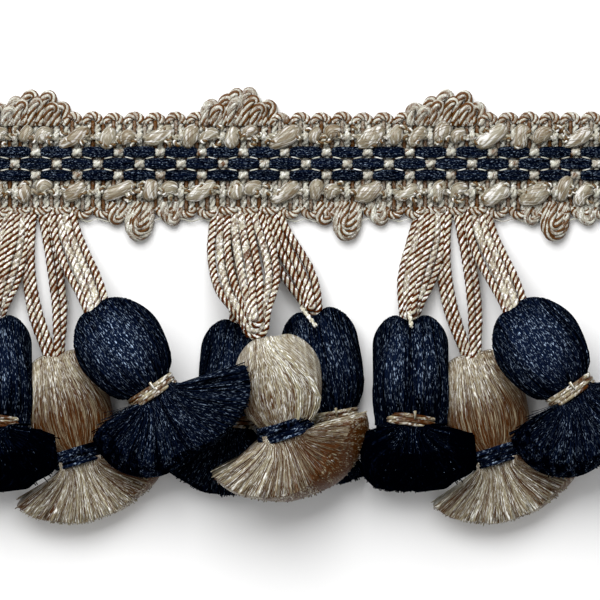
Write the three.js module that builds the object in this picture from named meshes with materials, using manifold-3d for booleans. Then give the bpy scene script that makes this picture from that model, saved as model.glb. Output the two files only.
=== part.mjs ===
// A cut length of tassel fringe trim, lying on its back: a woven gimp heading with looped edges,
// navy floss rows and slub yarn rows, and groups of twisted cord loops that carry soft floss tassels.
// Millimetres, +X along the trim, +Y towards the heading's picot edge, +Z out of its face.
// The origin is the middle of the heading's flat back.
import * as THREE from "three";
import { mergeVertices } from "three/addons/utils/BufferGeometryUtils.js";
import Module from "manifold-3d";

const wasm = await Module();
wasm.setup();

// Driving dimensions
const REPEAT = 45; // one group of three tassels to the next
const REPEATS = 3.5;
const RIBS_PER_REPEAT = 20;
const FIRST_GROUP_X = -53.9;
const TAPE_HALF_WIDTH = 9.5; // the heading without its edge loops
const BASE_THICK = 1.2;
const RIB_TOP = 2.2;
const GAP = 0.3; // left between pieces that lie on each other

const LENGTH = REPEAT * REPEATS;
const RIB_PITCH = REPEAT / RIBS_PER_REPEAT;
const LOOP_PITCH = 2 * RIB_PITCH;

// Finishes
const finish = (color, roughness) => new THREE.MeshStandardMaterial({ color, roughness, metalness: 0 });
const TWO_TONE = finish(0xb7a78f, 0.6);
const GREIGE = finish(0xa8967f, 0.45);
const NAVY = finish(0x141a2e, 0.5);

const trim = new THREE.Group();

function addPiece(name, solid, material) {
  const { numProp, vertProperties, triVerts } = solid.getMesh();
  const geometry = new THREE.BufferGeometry();
  geometry.setAttribute("position", new THREE.BufferAttribute(vertProperties, numProp));
  geometry.setIndex(new THREE.BufferAttribute(triVerts, 1));
  geometry.computeVertexNormals();
  const mesh = new THREE.Mesh(geometry, material.clone());
  mesh.name = name;
  trim.add(mesh);
}

// A closed geometry as a solid that can be joined to others
function solidOf(geometry) {
  geometry.deleteAttribute("normal");
  geometry.deleteAttribute("uv");
  const merged = mergeVertices(geometry);
  return new wasm.Manifold(
    new wasm.Mesh({
      numProp: 3,
      vertProperties: merged.attributes.position.array,
      triVerts: new Uint32Array(merged.index.array),
    }),
  );
}

const join = (solids) => solids.reduce((whole, solid) => whole.add(solid));

// Moves every point of a geometry by place(point)
function reshape(geometry, place) {
  const points = geometry.attributes.position;
  const point = new THREE.Vector3();
  for (let i = 0; i < points.count; i++) {
    const moved = place(point.fromBufferAttribute(points, i));
    points.setXYZ(i, moved.x, moved.y, moved.z);
  }
  return geometry;
}

// The value in one column of a table for a value in another, on straight lines between its rows
function lookUp(rows, from, to, value) {
  const next = rows.findIndex((row) => row[from] >= value);
  if (next === 0) return rows[0][to];
  if (next < 0) return rows[rows.length - 1][to];
  const before = rows[next - 1];
  const share = (value - before[from]) / (rows[next][from] - before[from]);
  return before[to] + share * (rows[next][to] - before[to]);
}

// A strand of a few flat sides along a path. size(t) gives its half width and half depth there,
// turns is how often the section turns round on its way, and onFloor keeps its underside level at z = 0.
const UP = new THREE.Vector3(0, 0, 1);
function strand({ path, sides, steps, size, turns = 0, onFloor = false }) {
  const flatSideDown = Math.PI / 2 + Math.PI / sides;
  const bar = new THREE.CylinderGeometry(1, 1, 1, sides, steps, false, flatSideDown);
  const underside = Math.cos(Math.PI / sides);
  return solidOf(
    reshape(bar, ({ x, y, z }) => {
      const t = 0.5 - y;
      const [halfWidth, halfDepth] = size(t);
      const turn = turns * 2 * Math.PI * t;
      const across = x * Math.cos(turn) - z * Math.sin(turn);
      const down = x * Math.sin(turn) + z * Math.cos(turn);
      const along = path.getTangentAt(t);
      const side = along.clone().cross(UP).normalize();
      const normal = side.clone().cross(along);
      const point = path.getPointAt(t);
      if (onFloor) point.z = Math.max(point.z, underside * halfDepth);
      point.addScaledVector(side, across * halfWidth).addScaledVector(normal, -down * halfDepth);
      if (onFloor) point.z = Math.max(point.z, 0);
      return point;
    }),
  );
}

const at = (x, y, z) => new THREE.Vector3(x, y, z);

// Heading: a base with ribs across it, and the weft turned over in loops at both edges
const NAVY_BAND = { top: 3.9, bottom: -3.95 };
const RIB_END = 9.1;
const RIB_VALLEY = 1.5;
const EDGE_LOOP = { reach: 1.9, roundness: 4 }; // small loops, one to two ribs
const PICOT = { radius: 0.75, root: 0.7, rootZ: 0.5, steps: 6, clear: 8 };
const PICOT_TOP_X = FIRST_GROUP_X - 3.7;
const PICOT_BOTTOM_X = FIRST_GROUP_X + 19.7;
const PICOT_TOP_LOOPS = [
  { x: -5.8, width: 1.7, reach: 2.8, lean: -0.6, z: 1.2 },
  { x: -2.9, width: 1.7, reach: 5.4, lean: 0.4, z: 1.8 },
  { x: 0, width: 1.7, reach: 6.8, lean: 0.8, z: 1.4 },
  { x: 2.9, width: 1.7, reach: 5.2, lean: 0.6, z: 2 },
  { x: 5.8, width: 1.7, reach: 3.2, lean: 0.8, z: 1.2 },
];
const PICOT_BOTTOM_LOOPS = [
  { x: -4.2, width: 1.7, reach: 3.2, lean: -0.4, z: 1.2 },
  { x: 0, width: 3.6, reach: 6.4, lean: -0.6, z: 1.8 },
  { x: 4, width: 1.7, reach: 3.8, lean: 0.6, z: 1.3 },
];
const HANGER_CLEAR = 12.5; // half the edge that a group of hangers takes up

const groupsAt = (first) => [0, 1, 2].map((group) => first + group * REPEAT);
const near = (x, places, distance) => places.some((place) => Math.abs(x - place) < distance);

// The tape's flat back and outline, scalloped by the small loops where no picot or hanger leaves the edge
function tapeBase() {
  const outline = new THREE.Shape();
  const clearOf = [
    { sign: -1, picots: PICOT_BOTTOM_X, hangers: groupsAt(FIRST_GROUP_X) },
    { sign: 1, picots: PICOT_TOP_X, hangers: [] },
  ];
  outline.moveTo(-LENGTH / 2, -TAPE_HALF_WIDTH);
  clearOf.forEach(({ sign, picots, hangers }) => {
    const edge = sign * TAPE_HALF_WIDTH;
    outline.lineTo((sign * LENGTH) / 2, edge);
    for (let step = LOOP_PITCH / 2; step < LENGTH; step += LOOP_PITCH) {
      const x = sign * (LENGTH / 2 - step);
      const next = x - (sign * LOOP_PITCH) / 2;
      const plain = near(x, groupsAt(picots), PICOT.clear) || near(x, hangers, HANGER_CLEAR);
      if (plain) outline.lineTo(next, edge);
      else outline.quadraticCurveTo(x, edge + 2 * sign * EDGE_LOOP.reach, next, edge);
    }
  });
  return solidOf(
    new THREE.ExtrudeGeometry(outline, {
      depth: BASE_THICK,
      bevelEnabled: false,
      curveSegments: EDGE_LOOP.roundness,
    }),
  );
}

// Ribs run along Y: a zigzag section, one tooth to a rib, pushed out over the strip's width
function ribStrip(bottom, top) {
  const section = new THREE.Shape();
  section.moveTo(-LENGTH / 2, BASE_THICK / 2);
  section.lineTo(LENGTH / 2, BASE_THICK / 2);
  for (let x = LENGTH / 2; x > -LENGTH / 2 + RIB_PITCH / 2; x -= RIB_PITCH) {
    section.lineTo(x, RIB_VALLEY);
    section.lineTo(x - RIB_PITCH / 2, RIB_TOP);
  }
  section.lineTo(-LENGTH / 2, RIB_VALLEY);
  const strip = new THREE.ExtrudeGeometry(section, { depth: top - bottom, bevelEnabled: false });
  strip.rotateX(Math.PI / 2);
  strip.translate(0, top, 0);
  return solidOf(strip);
}

// A long loop of the weft out of the edge on the side that sign gives
function picotLoop(middle, sign, { x, width, reach, lean, z }) {
  const { radius, root, rootZ, steps } = PICOT;
  const out = (distance) => sign * (TAPE_HALF_WIDTH + distance);
  const place = (across, distance, height) => at(middle + x + across, out(distance), height);
  const halfway = (rootZ + z) / 2;
  const path = new THREE.CatmullRomCurve3([
    place(-width / 2, -root, rootZ),
    place((lean - width) / 2, reach / 2, halfway),
    place(lean, reach - radius, z),
    place((lean + width) / 2, reach / 2, halfway),
    place(width / 2, -root, rootZ),
  ]);
  return strand({ path, sides: 3, steps, size: () => [radius, radius], onFloor: true });
}

const picots = (first, rows, sign) =>
  groupsAt(first).flatMap((middle) => rows.map((row) => picotLoop(middle, sign, row)));

addPiece(
  "heading",
  join([
    tapeBase(),
    ribStrip(NAVY_BAND.top, RIB_END),
    ribStrip(-RIB_END, NAVY_BAND.bottom),
    ...picots(PICOT_TOP_X, PICOT_TOP_LOOPS, 1),
    ...picots(PICOT_BOTTOM_X, PICOT_BOTTOM_LOOPS, -1),
  ]),
  TWO_TONE,
);

// Navy floss rows: flat warps that float over three ribs and dip under the fourth
const NAVY_PITCH = 4 * RIB_PITCH;
const NAVY_HALF = { width: 1.45, depth: 0.6 };
const NAVY_FLOAT_RISE = 0.5;
const FIRST_DOT_X = -57.375; // a rib that passes over the first and third rows
const NAVY_ROWS = [
  { name: "navy_row_1", y: 2.5, shift: 0 },
  { name: "navy_row_2", y: 0, shift: NAVY_PITCH / 2 },
  { name: "navy_row_3", y: -2.5, shift: 0 },
];
const NAVY_STEPS_PER_PITCH = 2;

class RowPath extends THREE.Curve {
  constructor(y, height) {
    super();
    this.y = y;
    this.height = height;
  }
  getPoint(t) {
    const x = (t - 0.5) * LENGTH;
    return at(x, this.y, this.height(x));
  }
  getTangent() {
    return at(1, 0, 0);
  }
  getUtoTmapping(u) {
    return u;
  }
}

function navyRow({ y, shift }) {
  const lowest = BASE_THICK + GAP + NAVY_HALF.depth * Math.SQRT1_2;
  const rise = (x) => Math.sin((Math.PI * (x - FIRST_DOT_X - shift)) / NAVY_PITCH) ** 2;
  return strand({
    path: new RowPath(y, (x) => lowest + NAVY_FLOAT_RISE * rise(x)),
    sides: 4,
    steps: Math.round(REPEATS * (REPEAT / NAVY_PITCH) * NAVY_STEPS_PER_PITCH),
    size: () => [NAVY_HALF.width, NAVY_HALF.depth],
  });
}
NAVY_ROWS.forEach((row) => addPiece(row.name, navyRow(row), NAVY));

// Slub rows: a thick-and-thin yarn couched along the ribs, one large and one small nub to each pitch
const SLUB_PITCH = NAVY_PITCH;
const SLUB_ROWS = [
  { name: "slub_row_top", y: 5.8, shift: 0 },
  { name: "slub_row_bottom", y: -6.1, shift: SLUB_PITCH / 2 },
];
const SLUB_NUBS = [
  { along: 0, radius: 2.9 },
  { along: 0.25, radius: 1.5 },
  { along: 0.5, radius: 2.1 },
  { along: 0.75, radius: 1.5 },
  { along: 1, radius: 2.9 },
];
const SLUB_FLATNESS = 0.5;
const SLUB_SIDES = 4;

function slubRow({ y, shift }) {
  const radiusAt = (x) => {
    const turn = (x + shift + LENGTH) / SLUB_PITCH;
    return lookUp(SLUB_NUBS, "along", "radius", turn - Math.floor(turn));
  };
  const underside = SLUB_FLATNESS * Math.cos(Math.PI / SLUB_SIDES);
  return strand({
    path: new RowPath(y, (x) => RIB_TOP + GAP + underside * radiusAt(x)),
    sides: SLUB_SIDES,
    steps: Math.round((LENGTH / SLUB_PITCH) * (SLUB_NUBS.length - 1)),
    size: (t) => {
      const radius = radiusAt((t - 0.5) * LENGTH);
      return [radius, SLUB_FLATNESS * radius];
    },
  });
}
SLUB_ROWS.forEach((row) => addPiece(row.name, slubRow(row), GREIGE));

// Tassels. The outer groups lie alike and the middle one otherwise. x is from the group's middle, fold is
// where the floss is folded over its loop, tie where it is bound, and notch how deep the cord draws in the
// fold. The skirt is length long on its axis and reach at its sides, and each layer of it is a row of locks
// that fans to the left and right by these degrees, at its rise above the axis.
const SIDE_BY_SIDE = [
  {
    name: "left",
    floss: NAVY,
    tieFloss: GREIGE,
    fold: at(-12.4, -33.2, 5),
    tie: at(-12.2, -55.4, 6),
    head: { width: 16.2, depth: 10.8, notch: 1.6 },
    skirt: { length: 13.4, reach: 15.4 },
    layers: [
      { rise: -22, left: 34, right: 6 },
      { rise: 8, left: 34, right: 8 },
      { rise: 34, left: 62, right: 60 },
      { rise: 58, left: 62, right: 60 },
    ],
  },
  {
    name: "middle",
    floss: GREIGE,
    tieFloss: NAVY,
    fold: at(1.8, -41.6, 3.6),
    tie: at(6, -63, 4),
    head: { width: 14.6, depth: 8, notch: 0.6 },
    skirt: { length: 13, reach: 16.2 },
    layers: [
      { rise: -13, left: 68, right: 74 },
      { rise: 8, left: 64, right: 70 },
    ],
  },
  {
    name: "right",
    floss: NAVY,
    tieFloss: GREIGE,
    fold: at(9.5, -30.6, 12.6),
    tie: at(21.8, -49.9, 12.2),
    head: { width: 18.6, depth: 11, notch: 0.8 },
    skirt: { length: 15.2, reach: 16.6 },
    layers: [
      { rise: -6, left: 84, right: 70 },
      { rise: 22, left: 78, right: 66 },
    ],
  },
];
const MIDDLE_ON_TOP = [
  {
    name: "left",
    floss: NAVY,
    tieFloss: GREIGE,
    fold: at(-4.6, -34.4, 4.1),
    tie: at(-6.6, -55.4, 4),
    head: { width: 15, depth: 9, notch: 1 },
    skirt: { length: 12.9, reach: 16 },
    layers: [
      { rise: -13, left: 50, right: 26 },
      { rise: 8, left: 46, right: 24 },
    ],
  },
  {
    name: "middle",
    floss: GREIGE,
    tieFloss: NAVY,
    fold: at(0.9, -37.6, 14),
    tie: at(5.6, -57.6, 12.6),
    head: { width: 16.8, depth: 11, notch: 0.8 },
    skirt: { length: 13.6, reach: 17.6 },
    layers: [
      { rise: -8, left: 70, right: 88 },
      { rise: 20, left: 66, right: 84 },
    ],
  },
  {
    name: "right",
    floss: NAVY,
    tieFloss: GREIGE,
    fold: at(11.7, -32, 4.3),
    tie: at(16, -54.6, 4),
    head: { width: 16.8, depth: 9.4, notch: 1.6 },
    skirt: { length: 13.7, reach: 14.4 },
    layers: [
      { rise: -13, left: 36, right: 20 },
      { rise: 8, left: 34, right: 20 },
    ],
  },
];

// Half width and half depth of the folded hank, as shares of the head's, from the fold to the neck
const HANK_PROFILE = [
  { along: -0.06, wide: 0, deep: 0 },
  { along: -0.02, wide: 0.42, deep: 0.45 },
  { along: 0.08, wide: 0.78, deep: 0.78 },
  { along: 0.26, wide: 0.98, deep: 0.98 },
  { along: 0.5, wide: 1, deep: 1 },
  { along: 0.74, wide: 0.93, deep: 0.93 },
  { along: 0.85, wide: 0.78, deep: 0.78 },
];
const HANK_SIDES = 12;
const NOTCH = { width: 0.2, length: 0.2 }; // shares of the head's width and length
const NECK = { width: 4.6, depth: 3.2 }; // half sizes where the tie binds the floss
const TIE = { halfBand: 1.1, thick: 1.2, sides: 4, segments: 12 };
const NECK_REACH = TIE.halfBand + 1.2; // the bound stretch, to each side of the tie
// A layer of the skirt: close floss up to parting, then locks that thicken towards the hem
const SKIRT = { start: 0.5, parting: 5.2, swell: 0.55, thickRoot: 1.3, thickHem: 2.2, droop: 0.08 };
const LOCK = { spacing: 3.2, narrow: 0.82, wide: 0.74 }; // share of the spacing filled half way and at the hem

const radians = THREE.MathUtils.degToRad;

// The tassel's own directions: along its axis, to its left, and out of its face
function axesOf({ fold, tie }) {
  const along = tie.clone().sub(fold).normalize();
  const left = along.clone().cross(UP).normalize();
  return { along, left, normal: left.clone().cross(along) };
}

function hank(tassel) {
  const { along, left, normal } = axesOf(tassel);
  const { width, depth, notch } = tassel.head;
  const headLength = tassel.fold.distanceTo(tassel.tie);
  const neck = { wide: (2 * NECK.width) / width, deep: (2 * NECK.depth) / depth };
  const neckAt = (offset) => 1 + offset / headLength;
  const profile = [
    ...HANK_PROFILE,
    { along: neckAt(-NECK_REACH), ...neck },
    { along: neckAt(NECK_REACH), ...neck },
    { along: neckAt(2 * NECK_REACH), wide: 0, deep: 0 },
  ];
  const outline = profile.map((row) => new THREE.Vector2(row.wide, -row.along)).reverse();
  return solidOf(
    reshape(new THREE.LatheGeometry(outline, HANK_SIDES), ({ x, y, z }) => {
      const wide = lookUp(profile, "along", "wide", -y);
      const deepShare = wide > 0 ? lookUp(profile, "along", "deep", -y) / wide : 1;
      const drawnIn = Math.exp(-((x / (2 * NOTCH.width)) ** 2)) * Math.max(0, 1 + y / NOTCH.length);
      const point = tassel.fold.clone().addScaledVector(along, notch * drawnIn - y * headLength);
      point.addScaledVector(left, (x * width) / 2).addScaledVector(normal, (-z * deepShare * depth) / 2);
      point.z = Math.max(point.z, 0);
      return point;
    }),
  );
}

// One layer of the skirt: a fan whose hem is cut into locks. The outline is drawn with degrees to the left
// as x and distance from the neck as y, and then bent round the neck's end.
function skirtLayer(tassel, { rise, left, right }) {
  const { along, left: toLeft, normal } = axesOf(tassel);
  const { length, reach } = tassel.skirt;
  const count = Math.round((radians(left + right) * reach) / LOCK.spacing);
  const pitch = (left + right) / count;
  const hemAt = (turn) => THREE.MathUtils.lerp(length, reach, Math.abs(Math.sin(radians(turn))));
  const outline = new THREE.Shape();
  outline.moveTo(left, SKIRT.start);
  outline.lineTo(-right, SKIRT.start);
  outline.lineTo(-right, SKIRT.parting);
  for (let i = 0; i < count; i++) {
    const middle = -right + (i + 0.5) * pitch;
    const hem = hemAt(middle);
    const swell = THREE.MathUtils.lerp(SKIRT.parting, hem, SKIRT.swell);
    outline.lineTo(middle - (pitch * LOCK.narrow) / 2, swell);
    outline.lineTo(middle - (pitch * LOCK.wide) / 2, hem);
    outline.lineTo(middle + (pitch * LOCK.wide) / 2, hem);
    outline.lineTo(middle + (pitch * LOCK.narrow) / 2, swell);
    outline.lineTo(middle + pitch / 2, SKIRT.parting);
  }
  const layer = new THREE.ExtrudeGeometry(outline, { depth: 1, bevelEnabled: false });
  const neckEnd = tassel.tie.clone().addScaledVector(along, NECK_REACH);
  return solidOf(
    reshape(layer, ({ x: turn, y: distance, z }) => {
      const share = Math.min(1, distance / reach);
      const thick = THREE.MathUtils.lerp(SKIRT.thickRoot, SKIRT.thickHem, share);
      const level = distance * Math.cos(radians(rise));
      const arch = SKIRT.droop * reach * Math.sin(Math.PI * share);
      const point = neckEnd.clone().addScaledVector(along, level * Math.cos(radians(turn)));
      point.addScaledVector(toLeft, level * Math.sin(radians(turn)));
      point.addScaledVector(normal, distance * Math.sin(radians(rise)) + arch);
      point.z = Math.max(point.z, thick / 2) + (z - 0.5) * thick;
      return point;
    }),
  );
}

const floss = (tassel) => join([hank(tassel), ...tassel.layers.map((layer) => skirtLayer(tassel, layer))]);

// The binding thread: a flat ring round the neck
function tieRing(tassel) {
  const { along, left, normal } = axesOf(tassel);
  const tube = 0.1;
  const ring = new THREE.TorusGeometry(1, tube, TIE.sides, TIE.segments);
  const clear = GAP + TIE.thick / 2;
  return solidOf(
    reshape(ring, ({ x, y, z }) => {
      const round = Math.hypot(x, y);
      const out = clear + ((round - 1) / tube) * (TIE.thick / 2);
      const point = tassel.tie.clone().addScaledVector(along, (z / tube) * TIE.halfBand);
      point.addScaledVector(left, (x / round) * (NECK.width + out));
      point.addScaledVector(normal, (-y / round) * (NECK.depth + out));
      point.z = Math.max(point.z, 0);
      return point;
    }),
  );
}

// Hanger loops: a bundle of cords leaves its roots straight down and comes to each tassel's fold along the
// tassel's axis, bowing sideways by bow. The first and last root are one loop, the next two a loop inside it,
// and belly is the share by which the loops widen half way down.
const CORD = { radius: 0.95, sides: 3, lead: 10.8, stepsPerTurn: 6, layer: 1.5, nesting: 1.4, run: 9, seat: 0.68 };
const HANGER_STRIP = { top: -TAPE_HALF_WIDTH - GAP, bottom: -11.6, thick: 3.4, end: 1.1 };
const HANGER_ROOT = { y: -10.7, z: 1 };
const BUNDLES_SIDE_BY_SIDE = [
  { tassel: "left", roots: [-10.2, -9, -7.4, -6.2], bow: 0, belly: 0.5 },
  { tassel: "middle", roots: [-4.6, -3.4, -1.4, -0.2], bow: 0, belly: 0.9 },
  { tassel: "right", roots: [2, 3.2, 5, 6.2], bow: 5.5, belly: 0.3 },
];
const BUNDLES_MIDDLE_ON_TOP = [
  { tassel: "left", roots: [-10.1, -7.5], bow: -6, belly: 0.15 },
  { tassel: "middle", roots: [-5.4, -4.2, -2.9, -1.4, -0.1, 1.1], bow: 0, belly: 0.4 },
  { tassel: "right", roots: [2.6, 3.8, 5, 6.2], bow: 0.7, belly: 0.25 },
];

function cordLoops({ roots, bow, belly }, tassel) {
  const { along } = axesOf(tassel);
  const last = roots.length - 1;
  const top = HANK_PROFILE[0].along;
  const drawnIn = tassel.head.notch * (1 - top / NOTCH.length);
  const seatAlong = top * tassel.fold.distanceTo(tassel.tie) + drawnIn - CORD.seat - GAP;
  const seat = tassel.fold.clone().addScaledVector(along, seatAlong);
  const root = at((roots[0] + roots[last]) / 2, HANGER_ROOT.y, HANGER_ROOT.z);
  const spine = new THREE.CubicBezierCurve3(
    root,
    root.clone().add(at(0, -CORD.run, 0)),
    seat.clone().addScaledVector(along, -CORD.run).add(at(bow, 0, 0)),
    seat,
  );
  const length = spine.getLength();
  return Array.from({ length: roots.length / 2 }, (_, i) => {
    const halfSpread = (roots[last - i] - roots[i]) / 2;
    const lift = (i % 2) * CORD.layer;
    const end = 1 - (i * CORD.nesting) / length;
    const bend = end - halfSpread / length;
    const beside = (share, sign) => {
      const left = spine.getTangentAt(share).cross(UP).normalize();
      const spread = halfSpread * (1 + belly * Math.sin(Math.PI * share));
      return spine.getPointAt(share).addScaledVector(left, sign * spread).add(at(0, 0, lift));
    };
    const leg = (sign) => [0, bend / 3, (2 * bend) / 3, bend].map((share) => beside(share, sign));
    const path = new THREE.CatmullRomCurve3([...leg(1), beside(end, 0), ...leg(-1).reverse()]);
    const turns = Math.round(path.getLength() / CORD.lead);
    return strand({
      path,
      sides: CORD.sides,
      steps: turns * CORD.stepsPerTurn,
      turns: -turns,
      size: () => [CORD.radius, CORD.radius],
    });
  });
}

function hanger(bundles, tassels) {
  const { top, bottom, thick, end } = HANGER_STRIP;
  const roots = bundles.flatMap((bundle) => bundle.roots);
  const from = Math.min(...roots) - end;
  const to = Math.max(...roots) + end;
  const strip = new THREE.BoxGeometry(to - from, top - bottom, thick);
  strip.translate((from + to) / 2, (top + bottom) / 2, thick / 2);
  const loops = bundles.flatMap((bundle) =>
    cordLoops(bundle, tassels.find(({ name }) => name === bundle.tassel)),
  );
  return join([solidOf(strip), ...loops]);
}

groupsAt(FIRST_GROUP_X).forEach((x, index) => {
  const number = index + 1;
  const middleGroup = index === 1;
  const tassels = middleGroup ? MIDDLE_ON_TOP : SIDE_BY_SIDE;
  const bundles = middleGroup ? BUNDLES_MIDDLE_ON_TOP : BUNDLES_SIDE_BY_SIDE;
  const place = (solid) => solid.translate(x, 0, 0);
  addPiece(`hanger_${number}`, place(hanger(bundles, tassels)), TWO_TONE);
  tassels.forEach((tassel) => {
    addPiece(`tassel_${number}_${tassel.name}`, place(floss(tassel)), tassel.floss);
    addPiece(`tie_${number}_${tassel.name}`, place(tieRing(tassel)), tassel.tieFloss);
  });
});

export default trim;
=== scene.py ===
from types import SimpleNamespace as Sizes

import bmesh
import bpy
import numpy as np
from numpy import clip, cos, interp, linspace, pi, sin
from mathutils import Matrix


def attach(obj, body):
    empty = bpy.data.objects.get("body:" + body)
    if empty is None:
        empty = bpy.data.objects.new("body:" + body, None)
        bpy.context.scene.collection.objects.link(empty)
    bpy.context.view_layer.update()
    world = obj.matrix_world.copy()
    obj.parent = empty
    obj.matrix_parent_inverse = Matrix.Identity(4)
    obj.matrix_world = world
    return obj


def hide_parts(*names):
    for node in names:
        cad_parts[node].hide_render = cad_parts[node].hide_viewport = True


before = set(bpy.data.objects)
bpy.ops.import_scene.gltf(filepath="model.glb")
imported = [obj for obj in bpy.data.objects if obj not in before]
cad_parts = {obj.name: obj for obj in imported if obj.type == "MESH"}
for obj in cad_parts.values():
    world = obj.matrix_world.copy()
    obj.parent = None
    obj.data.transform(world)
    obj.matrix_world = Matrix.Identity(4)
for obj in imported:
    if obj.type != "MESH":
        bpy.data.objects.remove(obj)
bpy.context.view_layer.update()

# Heading ground. The tape's own cloth: a flat band woven in brown and ivory, under all the yarns that
# are worked over it. Its weft stands up in ribs across the tape, and its flat back is what is sewn down.
# Sizes are in millimetres here and below, with +X along the trim and +Z out of its face.
MM = 0.001
LENGTH = 157.5
TAPE_HALF_WIDTH = 9.4
RIB_PITCH = 2.25
GROUND = Sizes(middle_y=-0.4, thick=0.8, rib=0.12, steps_per_rib=4, steps_across=10)
# Ground tone: lighter on the rib crests, darker in the hollows, from the weave's brown and painted shade
GROUND_TONE = Sizes(middle=0.2, ribs=0.2, pull=0.2)
BROWN = (0.345, 0.2, 0.012)
IVORY = (0.75, 0.75, 0.695)
PAINTED_GLINT_WHITE = (1.0, 1.0, 1.0)
# Fibre colours: dark, light, and Glint, a painted highlight whose specks are painted into the base colour
FIBRE_COLORS = ("Dark", "Light", "Glint")
FIBRE_LOOKS = ("Streak Scale", "Streak Share", "Glint Scale", "Glint From", "Glint Share")
FIBRE_INPUTS = {"Tone": "Float", "Fibre": "Vector"}
FIBRE_INPUTS |= dict.fromkeys(FIBRE_COLORS, "Color") | dict.fromkeys(FIBRE_LOOKS, "Float")
FIBRE_OUTPUTS = {"Color": "Color", "Height": "Float"}
STREAKS = Sizes(drawn=0.3, detail=3.0, rough=0.72, middle=0.5)
# Painted glints: how fine the specks of painted highlight are, how soft their edge and how much bump they
# add
PAINTED_GLINTS = Sizes(detail=1.0, edge=0.13, height=0.5)
BUMP_DEPTH = 0.12


def linear(color):
    """A colour given as shares of screen brightness, as the shader takes it"""
    return tuple(c / 12.92 if c <= 0.04045 else ((c + 0.055) / 1.055) ** 2.4 for c in color) + (1.0,)


def add_node(tree, kind, inputs, **settings):
    """A new shader node, with each of its inputs linked to a socket or set to a value"""
    node = tree.nodes.new(f"ShaderNode{kind}")
    for setting, value in settings.items():
        setattr(node, setting, value)
    for name, value in inputs.items():
        if isinstance(value, bpy.types.NodeSocket):
            tree.links.new(value, node.inputs[name])
        else:
            node.inputs[name].default_value = value
    return node


def fibre_group():
    """Colour and relief of floss or yarn: a tone from dark to light, in streaks drawn out along the fibres,
    with short painted glints, specks of painted highlight in the Glint colour. Fibre is a place in the hank
    in millimetres, the last of the three along it."""
    group = bpy.data.node_groups.new("Spun fibre", "ShaderNodeTree")
    for way, sockets in (("INPUT", FIBRE_INPUTS), ("OUTPUT", FIBRE_OUTPUTS)):
        for name, kind in sockets.items():
            group.interface.new_socket(name, in_out=way, socket_type=f"NodeSocket{kind}")

    def math(operation, *inputs, clamp=False):
        numbered = dict(enumerate(inputs))
        return add_node(group, "Math", numbered, operation=operation, use_clamp=clamp).outputs[0]

    def noise(place, scale, **look):
        return add_node(group, "TexNoise", {"Vector": place, "Scale": scale, **look}).outputs["Fac"]

    def mix(share, low, high):
        inputs = {"Factor": share, "A": low, "B": high}
        return add_node(group, "Mix", inputs, data_type="RGBA").outputs["Result"]

    given = group.nodes.new("NodeGroupInput").outputs
    result = group.nodes.new("NodeGroupOutput").inputs
    stretch = {0: given["Fibre"], 1: (1.0, 1.0, STREAKS.drawn)}
    drawn = add_node(group, "VectorMath", stretch, operation="MULTIPLY").outputs["Vector"]
    streak = noise(drawn, given["Streak Scale"], Detail=STREAKS.detail, Roughness=STREAKS.rough)
    centred = math("SUBTRACT", streak, STREAKS.middle)
    varied = math("MULTIPLY_ADD", centred, given["Streak Share"], given["Tone"], clamp=True)
    body = mix(varied, given["Dark"], given["Light"])
    # Painted glints: specks of the Glint colour painted over the body, more of them where the tone is high
    speck = noise(given["Fibre"], given["Glint Scale"], Detail=PAINTED_GLINTS.detail)
    brightest = math("ADD", given["Glint From"], PAINTED_GLINTS.edge)
    ramp = {"Value": speck, "From Min": given["Glint From"], "From Max": brightest}
    lit = add_node(group, "MapRange", ramp).outputs["Result"]
    amount = math("MULTIPLY", lit, given["Glint Share"])
    toned = math("MULTIPLY", amount, given["Tone"], clamp=True)
    group.links.new(mix(toned, body, given["Glint"]), result["Color"])
    group.links.new(math("MULTIPLY_ADD", lit, PAINTED_GLINTS.height, streak), result["Height"])
    return group


SPUN_FIBRE = fibre_group()


def fibre_material(name, colors, streaks, glints, bump, shine):
    """A finish of fibres, whose tone and run are attributes of the piece's mesh. Streaks have a scale and a
    share, painted glints (specks of painted highlight) a scale, a start and a share, and shine is roughness
    and the level of reflection."""
    material = bpy.data.materials.new(name)
    material.use_nodes = True
    tree = material.node_tree
    principled = tree.nodes["Principled BSDF"]
    for socket, value in zip(("Roughness", "Specular IOR Level"), shine):
        principled.inputs[socket].default_value = value
    inputs = {
        "Tone": add_node(tree, "Attribute", {}, attribute_name="tone").outputs["Fac"],
        "Fibre": add_node(tree, "Attribute", {}, attribute_name="fibre").outputs["Vector"],
    }
    inputs.update(zip(FIBRE_COLORS, map(linear, colors)))
    inputs.update(zip(FIBRE_LOOKS, streaks + glints))
    spun = add_node(tree, "Group", inputs, node_tree=SPUN_FIBRE).outputs
    relief = {"Height": spun["Height"], "Strength": bump, "Distance": BUMP_DEPTH * MM}
    bumped = add_node(tree, "Bump", relief).outputs
    tree.links.new(spun["Color"], principled.inputs["Base Color"])
    tree.links.new(bumped["Normal"], principled.inputs["Normal"])
    return material


def placed(name, data):
    """A new object in the scene, at the origin"""
    thing = bpy.data.objects.new(name, data)
    bpy.context.scene.collection.objects.link(thing)
    return thing


def settle(piece, slot, *nodes):
    """Every piece of the trim is sewn to the next, so all of them ride on the one body"""
    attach(piece, "root")
    if nodes:
        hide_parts(*nodes)


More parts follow.
